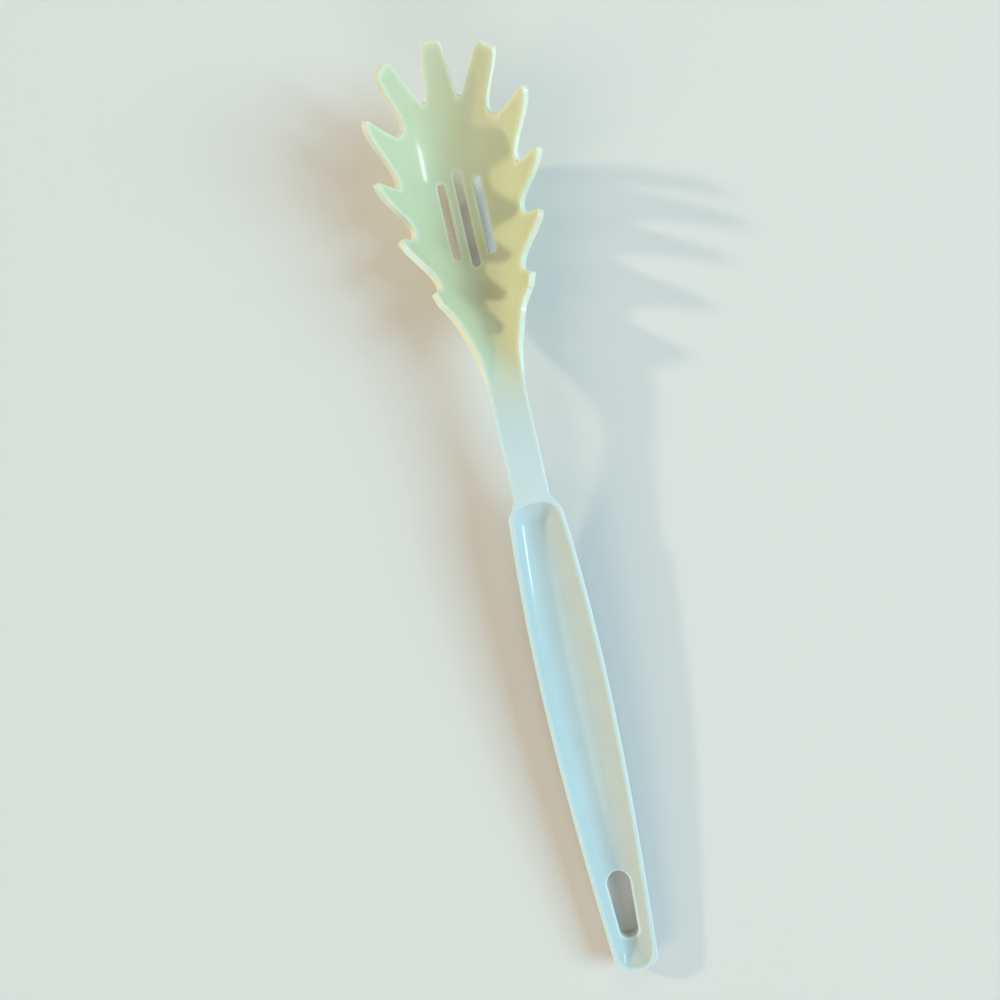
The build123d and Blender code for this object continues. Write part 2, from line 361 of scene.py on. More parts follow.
def spline(knots, values, at, slopes=None):
    """A cubic through values at knots whose slope and curvature are continuous.

    At each inner knot, the slopes of the knots on both sides, each over the step to it, and twice the
    knot's own slope over either step add up to three times the chords' slopes over their steps. The
    ends have given slopes or no curvature. Between knots it is the Hermite cubic of both slopes.
    """
    knots, values = np.asarray(knots, float), np.asarray(values, float)
    step = np.diff(knots)
    chord = (np.diff(values, axis=0).T / step).T
    size = len(knots)
    matrix, right = np.zeros((size, size)), np.zeros_like(values)
    inner = np.arange(1, size - 1)
    matrix[inner, inner - 1] = 1 / step[:-1]
    matrix[inner, inner + 1] = 1 / step[1:]
    matrix[inner, inner] = 2 * (1 / step[:-1] + 1 / step[1:])
    right[1:-1] = 3 * ((chord[:-1].T / step[:-1]).T + (chord[1:].T / step[1:]).T)
    if slopes is None:
        matrix[0, :2], matrix[-1, -2:] = (2, 1), (1, 2)
        right[0], right[-1] = 3 * chord[0], 3 * chord[-1]
    else:
        matrix[0, 0] = matrix[-1, -1] = 1
        right[0], right[-1] = slopes
    m = np.linalg.solve(matrix, right)
    cell = np.clip(np.searchsorted(knots, at, side="right") - 1, 0, size - 2)
    t = (at - knots[cell]) / step[cell]
    basis = [2 * t**3 - 3 * t**2 + 1, t**3 - 2 * t**2 + t, 3 * t**2 - 2 * t**3, t**3 - t**2]
    parts = [values[cell].T, m[cell].T * step[cell], values[cell + 1].T, m[cell + 1].T * step[cell]]
    return sum(part * weight for part, weight in zip(parts, basis)).T


def heading(points, end):
    """The unit direction in which a polyline starts or ends."""
    step = points[-1] - points[-2] if end else points[1] - points[0]
    return step / np.linalg.norm(step)


def rounded(curves, radii, counts=None):
    """Curves joined end to end, with each corner between them rounded.

    Both curves are cut back by the radius times the tangent of half the turn, and joined by a Bezier
    curve whose pulls are four thirds of the radius times the tangent of a quarter of the turn, which
    is close to the arc that touches both.
    """
    cuts = []
    for before, after, radius in zip(curves, curves[1:], radii):
        turn = acos(np.clip(heading(before, True) @ heading(after, False), -1, 1))
        cuts.append((radius * tan(turn / 2), 4 / 3 * radius * tan(turn / 4)))
    edges = [0] + [cut for cut, _ in cuts] + [0]
    trimmed = []
    for number, curve in enumerate(curves):
        whole = run_of(curve)[-1]
        reach = whole - edges[number] - edges[number + 1]
        count = counts[0][number] if counts else max(LEAST_POINTS, int(np.ceil(reach / EDGE_SPACING)) + 1)
        trimmed.append(along(curve, np.linspace(edges[number], whole - edges[number + 1], count)))
    joined = [trimmed[0]]
    for number, (before, after) in enumerate(zip(trimmed, trimmed[1:])):
        pull = cuts[number][1]
        count = counts[1][number] if counts else CORNER_POINTS
        start, stop = before[-1], after[0]
        leave, meet = heading(before, True) * pull, heading(after, False) * pull
        joined += [bezier(start, start + leave, stop - meet, stop, count)[1:-1], after]
    return np.concatenate(joined)


def mirrored(points):
    """A polyline mirrored to the other side and run backwards."""
    return points[::-1] * (-1, 1)


def gradient(rows, closed=False):
    """The unit direction of a chain of points at each of them, from its neighbours on both sides."""
    if closed:
        step = np.roll(rows, -1, axis=-2) - np.roll(rows, 1, axis=-2)
    else:
        step = np.gradient(rows, axis=-2)
    return unit(step)


def unit(vectors):
    """Vectors brought to length 1."""
    return vectors / np.linalg.norm(vectors, axis=-1, keepdims=True)


def raised(plan, height):
    """Plan points or directions with a third number, their height."""
    return np.concatenate([plan, np.broadcast_to(height, (*plan.shape[:-1], 1))], axis=-1)


def edge_profile(upper, depth, back):
    """Rows round an edge: how far in and down each lies, and its normal's shares inwards and upwards.

    A quarter circle of the upper radius leads from the face over the edge, a straight side leads down,
    and a quarter circle of the back radius leads under the back.
    """
    over = np.linspace(0, pi / 2, UPPER_ROWS)
    under = np.linspace(0, pi / 2, BACK_ROWS)
    inset = np.concatenate([upper * (1 - np.sin(over)), back * (1 - np.cos(under))])
    drop = np.concatenate([upper * (1 - np.cos(over)), depth - back + back * np.sin(under)])
    inwards = np.concatenate([-np.sin(over), -np.cos(under)])
    upwards = np.concatenate([np.cos(over), -np.sin(under)])
    return inset, drop, inwards, upwards


def rim_highlight():
    """How strongly the painted highlight lightens the rows round an edge of the head: partly on the face,
    most on the side, none below.
    """
    wear = -edge_profile(0, 0, 0)[2]
    wear[:UPPER_ROWS] = RIM_HIGHLIGHT + (1 - RIM_HIGHLIGHT) * wear[:UPPER_ROWS]
    return wear


def corner_highlight(face):
    """How strongly the painted highlight lightens the rows round an edge of the handle: most halfway over its
    upper rounding.

    It is twice the product of the normal's shares outwards and upwards, so it falls to none on the side.
    Towards the face it falls to the face's own painted highlight.
    """
    _, _, inwards, upwards = edge_profile(0, 0, 0)
    wear = np.clip(-2 * inwards * upwards, 0, 1)
    upper = upwards > -inwards
    wear[upper] = face + (1 - face) * wear[upper]
    return wear


# Filled areas and closed skins


def inside(points, loops):
    """Which plan points lie inside closed loops, by counting the sides that a ray along X crosses."""
    starts = np.concatenate(loops)
    ends = np.concatenate([np.roll(loop, -1, axis=0) for loop in loops])
    x, y = points[:, :1], points[:, 1:2]
    spans = (starts[:, 1] > y) != (ends[:, 1] > y)
    fall = np.where(ends[:, 1] == starts[:, 1], 1, ends[:, 1] - starts[:, 1])
    cross = starts[:, 0] + (y - starts[:, 1]) * (ends[:, 0] - starts[:, 0]) / fall
    return (spans & (x < cross)).sum(axis=1) % 2 == 1


def clearance(points, others):
    """The distance from each plan point to the nearest of the others."""
    return np.sqrt(((points[:, None] - others[None]) ** 2).sum(axis=2).min(axis=1))


def triangulated(loops, spacing):
    """Fills a plan area between loops: returns a lattice of inner points and the triangles.

    The lattice is of equilateral triangles, kept where it lies inside the loops and clear of them.
    """
    rim = np.concatenate(loops)
    low, high = rim.min(axis=0), rim.max(axis=0)
    across = np.arange(low[0], high[0], spacing)
    up = np.arange(low[1], high[1], spacing * sqrt(3) / 2)
    grid_x, grid_y = np.meshgrid(across, up)
    grid_x = grid_x + (np.arange(len(up)) % 2)[:, None] * spacing / 2
    lattice = np.stack([grid_x.ravel(), grid_y.ravel()], axis=1)
    lattice = lattice[inside(lattice, loops)]
    lattice = lattice[clearance(lattice, rim) > spacing / 2]
    points = np.concatenate([rim, lattice])
    sides, start = [], 0
    for loop in loops:
        number = start + np.arange(len(loop))
        sides.append(np.stack([number, np.roll(number, -1)], axis=1))
        start += len(loop)
    sides = np.concatenate(sides).tolist()
    made = delaunay_2d_cdt(points.tolist(), sides, [], INSIDE_LOOPS, LEAST_GAP, False)
    if len(made[0]) != len(points):
        raise ValueError("two points of a filled area fall together, or its loops cross")
    triangles = np.array([list(face) for face in made[2]])
    a, b, c = (points[triangles[:, k]] for k in range(3))
    turn = (b[:, 0] - a[:, 0]) * (c[:, 1] - a[:, 1]) - (b[:, 1] - a[:, 1]) * (c[:, 0] - a[:, 0])
    triangles[turn < 0] = triangles[turn < 0][:, ::-1]
    return lattice, triangles[inside((a + b + c) / 3, loops) & (np.abs(turn) > LEAST_AREA)]


def quads(rows, closed=False):
    """Joins rows of vertex numbers by quads: each goes down a row and then on along it."""
    on = np.roll(rows, -1, axis=1) if closed else rows[:, 1:]
    here = rows if closed else rows[:, :-1]
    return np.stack([here[:-1], here[1:], on[1:], on[:-1]], axis=-1).reshape(-1, 4).tolist()


def added(name, data):
    """Adds an object with its data to the scene."""
    item = bpy.data.objects.new(name, data)
    bpy.context.scene.collection.objects.link(item)
    return item


class Skin:
    """The closed surface of one piece, put together from grids, filled areas and flat end walls."""

    def __init__(self):
        self.points, self.normals, self.wear, self.faces, self.smooth, self.count = [], [], [], [], [], 0

    def add(self, points, normals, wear=0.0):
        """Adds vertices with their normals and the strength of their painted highlight, and returns their
        numbers.
        """
        shape = points.shape[:-1]
        self.points.append(points.reshape(-1, 3))
        self.wear.append(np.broadcast_to(wear, shape).ravel())
        self.normals.append(np.broadcast_to(normals, points.shape).reshape(-1, 3))
        numbers = np.arange(self.count, self.count + len(self.points[-1])).reshape(shape)
        self.count += len(self.points[-1])
        return numbers

    def keep(self, faces, smooth=True):
        """Adds faces of vertex numbers."""
        self.faces += faces
        self.smooth += [smooth] * len(faces)

    def grid(self, rows, closed=False, smooth=True):
        """Joins rows of vertices by quads."""
        self.keep(quads(rows, closed), smooth)

    def fill(self, rims, lattice, triangles, faces_down=False):
        """Fills an area from the numbers of its rims and inner vertices."""
        numbers = np.concatenate([*rims, lattice])[triangles]
        self.keep((numbers[:, ::-1] if faces_down else numbers).tolist())

    def wall(self, first, last, top, low):
        """Closes an end wall between two edges' columns: its inner rows go evenly from the top's down."""
        known = np.concatenate(self.points)
        level = between(0, 1, len(first))[:, None, None]
        inner = self.add(known[top] + (known[low] - known[top]) * level, (0.0, 0.0, 1.0))
        middle = np.concatenate([top[None], inner, low[None]])
        self.grid(np.concatenate([first[:, None], middle, last[:, None]], axis=1), smooth=False)

    def made(self, name, form=None):
        """Makes the mesh object, with the worked out normals on all but its end walls.

        A skin that is drawn in the plane of a form is first put in its place in the frame.
        """
        points, normals = np.concatenate(self.points), np.concatenate(self.normals)
        if form:
            points, normals = form.place(points), form.turn(normals)
        normals = unit(normals)
        mesh = bpy.data.meshes.new(name)
        mesh.from_pydata((points * MM).tolist(), [], self.faces)
        mesh.polygons.foreach_set("use_smooth", self.smooth)
        # Each vertex's painted highlight goes to the shader under this attribute's name
        mesh.attributes.new("edge", "FLOAT", "POINT").data.foreach_set("value", np.concatenate(self.wear))
        corners = np.zeros(len(mesh.loops), int)
        mesh.loops.foreach_get("vertex_index", corners)
        shown = np.repeat(self.smooth, [len(face) for face in self.faces])
        mesh.normals_split_custom_set((normals[corners] * shown[:, None]).tolist())
        mesh.update()
        return added(name, mesh)


def dress(piece, *nodes):
    """Gives a piece the plastic and puts it in the place of its nodes of the frame."""
    piece.data.materials.append(plastic())
    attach(piece, "root")
    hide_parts(*nodes)


# The handle's form


class HandleForm:
    """The handle, in its own plane: X across, Y from its end, and the third axis up from the rim."""

    def __init__(self, handle, neck):
        self.size, self.neck = handle, neck
        # The plane lies so high that the back's rounded end stands on the floor, to 0.01 mm
        back = handle.back_radius
        self.rise = handle.depth * cos(handle.pitch) - back * (1 - cos(handle.pitch) + sin(handle.pitch))
        side = self.side(handle.rim_land)[1]
        self.side_y, self.side_x = side[:, 1], side[:, 0]
        self.low = handle.rim_land + handle.end_cap
        self.high = handle.length - handle.arch_land - handle.arch_cap

    def place(self, points):
        """Points of the handle's plane in the frame, turned up by the pitch."""
        return self.turn(points) + (0, FAR_BACK, self.rise)

    def turn(self, normals):
        """Directions of the handle's plane in the frame."""
        x, y, up = normals.T
        p = self.size.pitch
        return np.stack([x, y * cos(p) - up * sin(p), y * sin(p) + up * cos(p)], axis=1)

    def side(self, inset):
        """The right side's curves, moved in: half the bowed end, the swelling side and the shoulder.

        The end is an arc with a radius of the squares of its half width and its bow, added up, over twice
        the bow. The side is a Bezier curve whose pulls lie a third and two thirds of its way along.
        """
        s = self.size
        corner = np.array([s.end_width / 2 - inset, s.end_bow + inset])
        shoulder = np.array([s.shoulder_width / 2 - inset, s.length - s.shoulder_run])
        front = np.array([self.neck.width / 2 - inset, s.length])
        third = (shoulder[1] - corner[1]) / 3
        radius = (corner[0] ** 2 + s.end_bow**2) / (2 * s.end_bow)
        x = np.linspace(0, corner[0], LINE_POINTS)
        end = np.stack([x, inset + radius - np.sqrt(radius**2 - x**2)], axis=1)
        lower = (s.lower_pull / 2 - inset, corner[1] + third)
        upper = (s.upper_pull / 2 - inset, shoulder[1] - third)
        return end, bezier(corner, lower, upper, shoulder), line(shoulder, front)

    def chain(self, inset):
        """The outline moved in, from the front's left corner round the end to its right corner."""
        s = self.size
        radii = [max(s.end_corner - inset, LEAST_RADIUS), max(s.shoulder_radius - inset / 2, LEAST_RADIUS)]
        half = rounded(self.side(inset), radii, HANDLE_COUNTS)
        return np.concatenate([mirrored(half), half[1:]])

    def share_of(self, plan):
        """How far out a point of the plan lies in the trough: 0 on its spine and 1 on its outline.

        It is a superellipse at both ends: the share across of the half width and the share of the cap
        past the straight part are each raised to the cap's power, added up, and the root is taken.
        """
        x, y = plan[..., 0], plan[..., 1]
        past = np.maximum(self.low - y, 0) / self.size.end_cap
        past = past + np.maximum(y - self.high, 0) / self.size.arch_cap
        half = np.interp(y, self.side_y, self.side_x)
        return (np.abs(x / half) ** CAP_POWER + past**CAP_POWER) ** (1 / CAP_POWER)

    def loop(self, out):
        """The closed line of the plan, anticlockwise, on which the share is a given number."""
        round_cap = np.linspace(0, pi / 2, CAP_POINTS)
        x_share, past = (out * np.abs(at) ** (2 / CAP_POWER) for at in (np.cos(round_cap), np.sin(round_cap)))
        top_y = self.high + past * self.size.arch_cap
        side_y = between(self.low, self.high, TROUGH_POINTS + 2)
        low_y = self.low - past * self.size.end_cap
        y = np.concatenate([low_y[::-1], side_y, top_y])
        across = np.concatenate([x_share[::-1], np.full(len(side_y), out), x_share])
        right = np.stack([across * np.interp(y, self.side_y, self.side_x), y], axis=1)
        left = right[::-1] * (-1, 1)
        return np.concatenate([right, left[1:-1]])

    def share_slope(self, plan):
        """How the share changes across and along the plan, from points on both sides."""
        nudge = 0.02
        steps = np.eye(2) * nudge
        change = [self.share_of(plan + step) - self.share_of(plan - step) for step in steps]
        return np.stack(change, axis=-1) / (2 * nudge)

    def dish(self, plan):
        """Points and normals of the trough's floor.

        Below the lip it drops by its depth times one less the dish's power of the share from the spine.
        """
        deep = self.size.trough_depth - self.size.lip_drop
        out = np.clip(self.share_of(plan), 0, 1)
        drop = self.size.lip_drop + deep * (1 - out**DISH_POWER)
        rise = deep * DISH_POWER * out ** (DISH_POWER - 1)
        slope = self.share_slope(plan)
        return raised(plan, -drop[:, None]), unit(raised(-slope * rise[:, None], 1))

    def hole(self):
        """The hanging hole's outline, clockwise: two circles and the lines that touch both."""
        s = self.size
        lean = asin((s.hole_wide - s.hole_narrow) / s.hole_spacing)
        turns = ((-lean, pi + lean), (pi + lean, 2 * pi - lean))
        start = s.hole_start + s.hole_narrow
        ring = []
        for turn, radius, y in zip(turns, (s.hole_wide, s.hole_narrow), (start + s.hole_spacing, start)):
            ring.append(circle(np.linspace(*turn, HOLE_POINTS // 2)) * radius + (0, y))
        ring = np.concatenate([*ring, ring[0][:1]])
        return along(ring, np.linspace(0, run_of(ring)[-1], HOLE_POINTS + 1)[:-1])[::-1]


def handle_skin(form):
    """The whole handle: its side, rim, lip, trough, hanging hole, back and front wall."""
    s, skin = form.size, Skin()
    up = np.array([0.0, 0.0, 1.0])

    # Side, from the rim's inner line over its edge and down to the back
    inset, drop, inwards, upwards = edge_profile(s.edge_radius, s.depth, s.back_radius)
    plan = np.stack([form.chain(i) for i in inset])
    into = left_of(gradient(plan))
    points = raised(plan, -drop[:, None, None])
    normals = raised(into * inwards[:, None, None], upwards[:, None, None])
    # The side's rows carry a painted highlight over the edge's upper rounding
    side = skin.add(points, normals, corner_highlight(s.rim_highlight)[:, None])
    skin.grid(side)

    # Lip, an arc that turns from the rim's flat to the trough's slope, and rings with falling shares
    rings, ring_normals = [], []
    base = form.loop(1)
    slope = form.share_slope(base)
    steep = np.linalg.norm(slope, axis=1)[:, None]
    inward = -slope / steep
    tilt = np.arctan(steep * (s.trough_depth - s.lip_drop) * DISH_POWER)
    radius = s.lip_drop / (1 - np.cos(tilt))
    for part in np.linspace(0, 1, LIP_RINGS):
        at = tilt * part
        ring = base - inward * radius * (np.sin(tilt) - np.sin(at))
        rings.append(raised(ring, -radius * (1 - np.cos(at))))
        ring_normals.append(raised(inward * np.sin(at), np.cos(at)))
    for out in np.linspace(1, WALL_SHARE, TROUGH_RINGS)[1:]:
        ring, normal = form.dish(form.loop(out))
        rings.append(ring)
        ring_normals.append(normal)
    # The rim's painted highlight fades over the lip's rings
    lip_highlight = s.rim_highlight * np.clip(np.linspace(1, 1 - len(rings) / LIP_RINGS, len(rings)), 0, 1)
    trough = skin.add(np.stack(rings), np.stack(ring_normals), lip_highlight[:, None])
    skin.grid(trough[:, ::-1], closed=True)

    # Hanging hole, from its rounded lip in the trough down to its rounded edge in the back
    hole = form.hole()
    material = left_of(gradient(hole, closed=True))
    back_lip = s.hole_lip / 2
    inset, _, inwards, upwards = edge_profile(s.hole_lip, s.depth, back_lip)
    rows, row_normals = [], []
    for number, (off, towards, level) in enumerate(zip(inset, inwards, upwards)):
        ring = hole + material * off
        if number < UPPER_ROWS:
            points, surface = form.dish(ring)
            points[:, 2] -= s.hole_lip * (1 - level)
            normal = surface * level + raised(material * towards, 0)
        else:
            points = raised(ring, -s.depth + back_lip * (1 + level))
            normal = raised(material * towards, level)
        rows.append(points)
        row_normals.append(normal)
    # A painted highlight lightens the hole's rounded lip
    hole_rows = skin.add(np.stack(rows), unit(np.stack(row_normals)), corner_highlight(0)[:, None])
    skin.grid(hole_rows, closed=True)

    # Front wall's line, the rim, the trough's floor and the back
    front = between(plan[0, -1], plan[0, 0], FRONT_POINTS)
    # The front's top line carries the rim's painted highlight
    front_top = skin.add(raised(front, 0), up, s.rim_highlight)
    low = between(plan[-1, -1], plan[-1, 0], FRONT_POINTS)
    front_low = skin.add(raised(low, -s.depth), -up)
    skin.wall(side[:, -1], side[:, 0], front_top, front_low)

    rim_loops = [np.concatenate([plan[0], front]), rings[0][::-1, :2]]
    lattice, triangles = triangulated(rim_loops, RIM_SPACING)
    # The rim's flat carries the rim's painted highlight
    inner = skin.add(raised(lattice, 0), up, s.rim_highlight)
    skin.fill([side[0], front_top, trough[0, ::-1]], inner, triangles)

    floor_loops = [rings[-1][:, :2], rows[0][:, :2]]
    lattice, triangles = triangulated(floor_loops, TROUGH_SPACING)
    inner = skin.add(*form.dish(lattice))
    skin.fill([trough[-1], hole_rows[0]], inner, triangles)

    back_loops = [np.concatenate([plan[-1], low]), rows[-1][:, :2]]
    lattice, triangles = triangulated(back_loops, BACK_SPACING)
    inner = skin.add(raised(lattice, -s.depth), -up)
    skin.fill([side[-1], front_low, hole_rows[-1]], inner, triangles, faces_down=True)
    return skin


def handle_front(form):
    """Closed loop of points and normals of the handle's front, from its right back edge upwards.

    The right side's edge profile is mirrored to the left, and straight runs join the two.
    """
    s, flip = form.size, np.array([-1, 1, 1])
    inset, drop, inwards, upwards = edge_profile(s.edge_radius, s.depth, s.back_radius)
    flat = np.full(len(inset), s.length)
    right = np.stack([form.neck.width / 2 - inset, flat, -drop], axis=1)
    facing = np.stack([-inwards, flat * 0, upwards], axis=1)
    top = between(right[0], right[0] * flip, FRONT_POINTS)
    low = between(right[-1] * flip, right[-1], FRONT_POINTS)
    points = np.concatenate([right[::-1], top, right * flip, low])
    up, down = (np.repeat(end[None], len(top), axis=0) for end in (facing[0], facing[-1]))
    normals = np.concatenate([facing[::-1], up, facing * flip, down])
    return form.place(points), form.turn(normals)


# The head's form


class HeadForm:
    """The bowl's inner wall over the plan, the outline of the head and the rows round its edges."""

    def __init__(self, head, neck, handle_form):
        self.size, self.neck = head, neck
        handle = handle_form.size
        end = handle_form.place(np.array([[0.0, handle.length + neck.length, 0.0]]))[0]
        neck_end = end[1:]
        neck_line = np.array([cos(handle.pitch), sin(handle.pitch)])
        tine_line = np.array([cos(head.tine_slope), sin(head.tine_slope)])
        self.start = neck_end[0]
        # Middle line: a straight lead-in along the neck, two curves that meet level where the bowl is
        # deepest, and a straight run-out past the tip
        floor = np.array([self.start + FLOOR_SHARE * head.length, head.wall])
        tip = np.array([self.start + head.length, head.wall + head.tine_rise])
        level = np.array([1.0, 0.0])
        funnel = bezier(
            neck_end,
            neck_end + neck_line * head.length * FUNNEL_PULL_SHARE[0],
            floor - level * head.length * FUNNEL_PULL_SHARE[1],
            floor,
        )
        scoop = bezier(
            floor,
            floor + level * head.length * SCOOP_PULL_SHARE[0],
            tip - tine_line * head.length * SCOOP_PULL_SHARE[1],
            tip,
        )
        lead_in = neck_end - neck_line * head.margin
        run_out = tip + tine_line * head.margin
        middle = np.concatenate([line(lead_in, neck_end)[:-1], funnel[:-1], scoop, line(tip, run_out)[1:]])
        # Lengths along the middle line of the stations, and their widths and heights
        funnel_run, scoop_run = run_of(funnel), run_of(scoop)
        at = [0.0]
        at += [head.margin + funnel_run[round(t * CURVE_STEPS)] for t, _, _ in FUNNEL_SHARES]
        at += [head.margin + funnel_run[-1] + scoop_run[round(t * CURVE_STEPS)] for t, _, _ in SCOOP_SHARES]
        at += [run_of(middle)[-1]]
        stations = [FUNNEL_SHARES[0], *FUNNEL_SHARES, *SCOOP_SHARES, SCOOP_SHARES[-1]]
        wide_high = np.array([station[1:] for station in stations])
        wide_high *= (head.width / 2 / RIM_REACH_SHARE, head.depth / (1 - sqrt(1 - RIM_REACH_SHARE**2)))
        self.run = np.linspace(0, at[-1], MIDDLE_POINTS)
        self.line = along(middle, self.run)
        self.forward = gradient(self.line)
        self.half_across, self.half_high = spline(at, wide_high, self.run).T

    def lift(self, x, run):
        """How far the wall stands off the middle line, on a half ellipse.

        It is the height less the height times the root of one less the square of the share across.
        """
        across = np.interp(run, self.run, self.half_across)
        high = np.interp(run, self.run, self.half_high)
        return high * (1 - np.sqrt(np.clip(1 - (x / across) ** 2, 0, 1)))

    def height(self, x, y):
        """Height of the inner wall over the plan: the middle line's, and the lift turned to its slope.

        The place on the middle line is found by repeated correction: a section leans back, so a point
        of it lies behind its place by its lift.
        """
        run = np.interp(y, self.line[:, 0], self.run)
        for _ in range(CORRECTIONS):
            lean = -np.interp(run, self.run, self.forward[:, 1])
            run = np.interp(y - self.lift(x, run) * lean, self.line[:, 0], self.run)
        level = np.interp(run, self.run, self.forward[:, 0])
        return np.interp(run, self.run, self.line[:, 1]) + self.lift(x, run) * level

    def place(self, plan):
        """Points and normals of the inner wall over the plan, the normals from heights on both sides."""
        x, y, nudge = plan[..., 0], plan[..., 1], 0.3
        points = np.stack([x, y, self.height(x, y)], axis=-1)
        slope_x = (self.height(x + nudge, y) - self.height(x - nudge, y)) / (2 * nudge)
        slope_y = (self.height(x, y + nudge) - self.height(x, y - nudge)) / (2 * nudge)
        return points, unit(np.stack([-slope_x, -slope_y, np.ones_like(x)], axis=-1))

    def rim(self, plan, closed=False):
        """Rows of points and normals round a moulded edge of the wall that follows a line of the plan.

        Each row of the edge's profile lies in across the line and down along the wall's normal. The first
        and the last are then brought onto the wall's two faces.
        """
        s = self.size
        edge, up = self.place(plan)
        into = unit(np.cross(up, gradient(edge, closed)))
        profile = edge_profile(s.edge_radius, s.wall, s.edge_radius)
        inset, drop, inwards, upwards = (row[:, None, None] for row in profile)
        points = edge + into * inset - up * drop
        normals = into * inwards + up * upwards
        top, top_up = self.place(points[0, :, :2])
        points[0], normals[0] = top, top_up
        points[-1], normals[-1] = top - top_up * s.wall, -top_up
        return points, normals

    def at(self, shares):
        """A place on the plan from a share of the half width and a share of the length."""
        return np.array([shares[0] * self.size.width / 2, self.start + shares[1] * self.size.length])

    def pulled(self, point, shares):
        """A point moved by a share of the half width and a share of the length."""
        return point + np.array(shares) * (self.size.width / 2, self.size.length)

    def outline(self):
        """The head's outline, anticlockwise from the neck's right corner to its left one.

        The funnel's edge is a spline, the tines' backs are Bezier curves, and the middle tine's end is a
        parabola.
        """
        s = self.size
        neck_side = np.array([self.neck.width / 2, self.start])
        knots = np.stack([neck_side, *[self.at(p) for p in FUNNEL_EDGE], self.at(STEP_INNER)])
        run = run_of(knots)
        edge = spline(run, knots, np.linspace(0, run[-1], FUNNEL_POINTS), FUNNEL_SLOPES)
        corners = [self.at(p) for p in (STEP_INNER, STEP_OUTER, SMALL_TIP, SMALL_GAP)]
        curves = [edge] + [line(a, b) for a, b in zip(corners, corners[1:])]
        radii = [s.small_radius, s.small_radius, s.small_tip_radius, s.small_radius]
        behind = self.at(SMALL_GAP)
        for gap_pull, tip_pull, tip, gap in SAWTEETH:
            tip, gap = self.at(tip), self.at(gap)
            curves += [bezier(behind, self.pulled(behind, gap_pull), self.pulled(tip, tip_pull), tip)]
            curves += [line(tip, gap)]
            radii += [s.tip_radius, s.gap_radius]
            behind = gap
        corners = [self.at(p) for p in (SIDE_TINE_OUTER, SIDE_TINE_INNER, FRONT_GAP, CENTRE_TIP)]
        outer, corner = corners[0], corners[-1]
        first, second = SIDE_TINE_PULLS
        curves += [bezier(behind, self.pulled(behind, first), self.pulled(outer, second), outer)]
        curves += [line(a, b) for a, b in zip(corners, corners[1:])]
        radii += [s.blunt_radius, s.blunt_radius, s.front_gap_radius, s.blunt_radius]
        x = np.linspace(corner[0], -corner[0], TIP_POINTS)
        end = self.at(TIP)[1]
        cap = np.stack([x, end - (end - corner[1]) * (x / corner[0]) ** 2], axis=1)
        curves += [cap] + [mirrored(curve) for curve in curves[::-1]]
        return rounded(curves, radii + radii[::-1])

    def slots(self):
        """The three drain slots' outlines, clockwise, each two half circles and two straight sides."""
        s, loops = self.size, []
        middle = self.start + s.slot_middle * s.length
        radius = s.slot_width / 2
        arc = circle(np.linspace(0, pi, SLOT_TURN_POINTS)) * radius
        slots = ((0, s.middle_slot), (s.slot_spacing, s.side_slot), (-s.slot_spacing, s.side_slot))
        for x, slot_length in slots:
            reach = slot_length / 2 - radius
            ring = np.concatenate([arc + (x, middle + reach), -arc + (x, middle - reach)])
            ring = np.concatenate([ring, ring[:1]])
            count = int(run_of(ring)[-1] / SLOT_SPACING)
            loops.append(along(ring, np.linspace(0, run_of(ring)[-1], count + 1)[:-1])[::-1])
        return loops

    def roots(self):
        """The line that the tines stand on, which crosses the gaps between them, as a closed loop."""
        clear = self.size.root_clearance
        gaps = [SMALL_GAP] + [tooth[3] for tooth in SAWTEETH]
        right = [(self.neck.width / 2 + clear, self.start - ROOT_START), self.at(ROOT_CORNER)]
        right += [self.at(STEP_INNER) - (0, clear)]
        right += [self.at(gap) + (clear, clear) for gap in gaps]
        right += [self.at(FRONT_GAP) + (clear / 2, 2 * clear)]
        right = np.array(right)
        return np.concatenate([right, mirrored(right)])

    def stretches(self, outline):
        """Vertex numbers of the outline's stretches along the bowl, and those round each tine, in turn."""
        beyond = ~inside(outline, [self.roots()])
        change = np.flatnonzero(np.diff(beyond.astype(int))) + 1
        if len(change) != 2 * (2 * TINES + 1):
            raise ValueError(f"the root line makes {len(change) / 2} tines")
        bounds = [0, *change, len(outline) - 1]
        runs = [np.arange(a, b + 1) for a, b in zip(bounds, bounds[1:])]
        return runs[0::2], runs[1::2]


